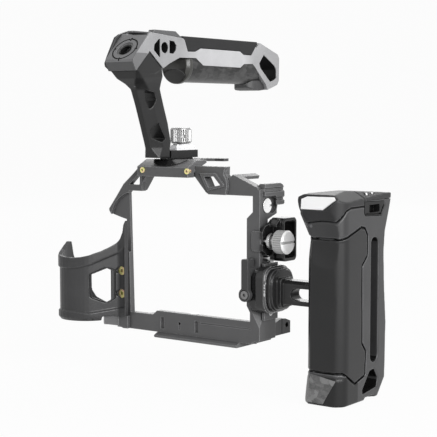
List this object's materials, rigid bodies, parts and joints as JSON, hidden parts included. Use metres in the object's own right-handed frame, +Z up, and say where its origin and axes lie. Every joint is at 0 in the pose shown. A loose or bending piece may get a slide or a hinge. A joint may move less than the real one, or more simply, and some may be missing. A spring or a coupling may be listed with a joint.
{
  "type": "camera cage with handles",
  "caption": "Camera cage with a top handle on a rail, a side handle on a turning slotted bar, a silicone side grip and a cable clamp with a thumb screw.",
  "frame": {"origin": "centre of the tripod socket in the underside of the cage", "axes": "+Z up, Y along the lens axis towards the rear, +X towards the side handle, to the right as seen from the front"},
  "size_m": [0.2098, 0.1554, 0.2178],
  "materials": {
    "black_alloy": "anodised black",
    "grey_alloy": "anodised dark grey",
    "light_alloy": "anodised mid grey",
    "steel": "satin",
    "brass": "satin",
    "silicone": "soft matte",
    "grip_rubber": "ribbed matte",
    "forged_carbon": "mottled flakes",
    "shell_plastic": "fine grain",
    "white_plate": "bare",
    "inlay": "bare, glossy"
  },
  "bodies": {
    "cage": {"cage_frame": "black_alloy", "dovetail_plate": "grey_alloy", "plate_screws": "steel", "camera_screw": "steel", "side_grip": "silicone", "grip_screws": "brass", "visor_screws": "brass", "visor_inlay": "inlay", "top_rail": "black_alloy", "rail_screws": "steel", "lug_screw": "steel", "side_rail": "black_alloy", "side_rail_screws": "steel", "cable_block": "grey_alloy", "cable_pin": "steel"},
    "top_handle": {"head_frame": "light_alloy", "head_insert": "steel", "head_block": "grey_alloy", "head_cheek": "black_alloy", "handle_arm": "black_alloy", "top_pad": "silicone", "grip_sleeve": "forged_carbon", "sleeve_end": "grip_rubber", "finger_stop": "light_alloy", "handle_base": "black_alloy", "lock_plate": "light_alloy", "base_screws": "steel"},
    "lock": {"lock_stem": "steel", "lock_knob": "steel"},
    "shroud": {"cable_shroud": "black_alloy"},
    "thumb_screw": {"cable_knob": "steel", "cable_stem": "steel", "cable_washer": "steel"},
    "side_clamp": {"clamp_body": "grey_alloy", "rotor_ring": "light_alloy", "lever_pin": "steel"},
    "lever": {"clamp_lever": "grey_alloy"},
    "rotor": {"rotor_arm": "grey_alloy", "rotor_shaft": "steel", "rotor_screw": "steel"},
    "side_handle": {"handle_shell": "shell_plastic", "handle_rubber": "grip_rubber", "handle_rear_rubber": "grip_rubber", "handle_cap": "shell_plastic", "cap_plate": "white_plate", "cap_socket": "shell_plastic", "cap_studs": "steel", "foot_insert": "forged_carbon", "bar_bolt": "steel"}
  },
  "joints": [
    {"name": "handle_slide", "type": "slide", "parent": "cage", "child": "top_handle", "axis": [0, 1, 0], "range_m": [-0.016, 0.0015]},
    {"name": "lock_turn", "type": "hinge", "parent": "top_handle", "child": "lock", "pos_m": [-0.009, -0.0019, 0.127], "axis": [0, 0, 1], "range_deg": [0, 540]},
    {"name": "shroud_slide", "type": "slide", "parent": "cage", "child": "shroud", "axis": [0, 1, 0], "range_m": [0, 0.0034]},
    {"name": "thumb_screw_turn", "type": "hinge", "parent": "cage", "child": "thumb_screw", "pos_m": [0.077, -0.019, 0.0655], "axis": [1, 0, 0], "range_deg": [0, 720]},
    {"name": "clamp_slide", "type": "slide", "parent": "cage", "child": "side_clamp", "axis": [0, 0, 1], "range_m": [-0.005, 0.0015]},
    {"name": "lever_turn", "type": "hinge", "parent": "side_clamp", "child": "lever", "pos_m": [0.0602, -0.028, 0.0335], "axis": [0, -1, 0], "range_deg": [0, 75]},
    {"name": "rotor_turn", "type": "hinge", "parent": "side_clamp", "child": "rotor", "pos_m": [0.075, -0.014, 0.0365], "axis": [1, 0, 0], "continuous": true},
    {"name": "side_handle_slide", "type": "slide", "parent": "rotor", "child": "side_handle", "axis": [1, 0, 0], "range_m": [-0.0055, 0.0025]}
  ]
}
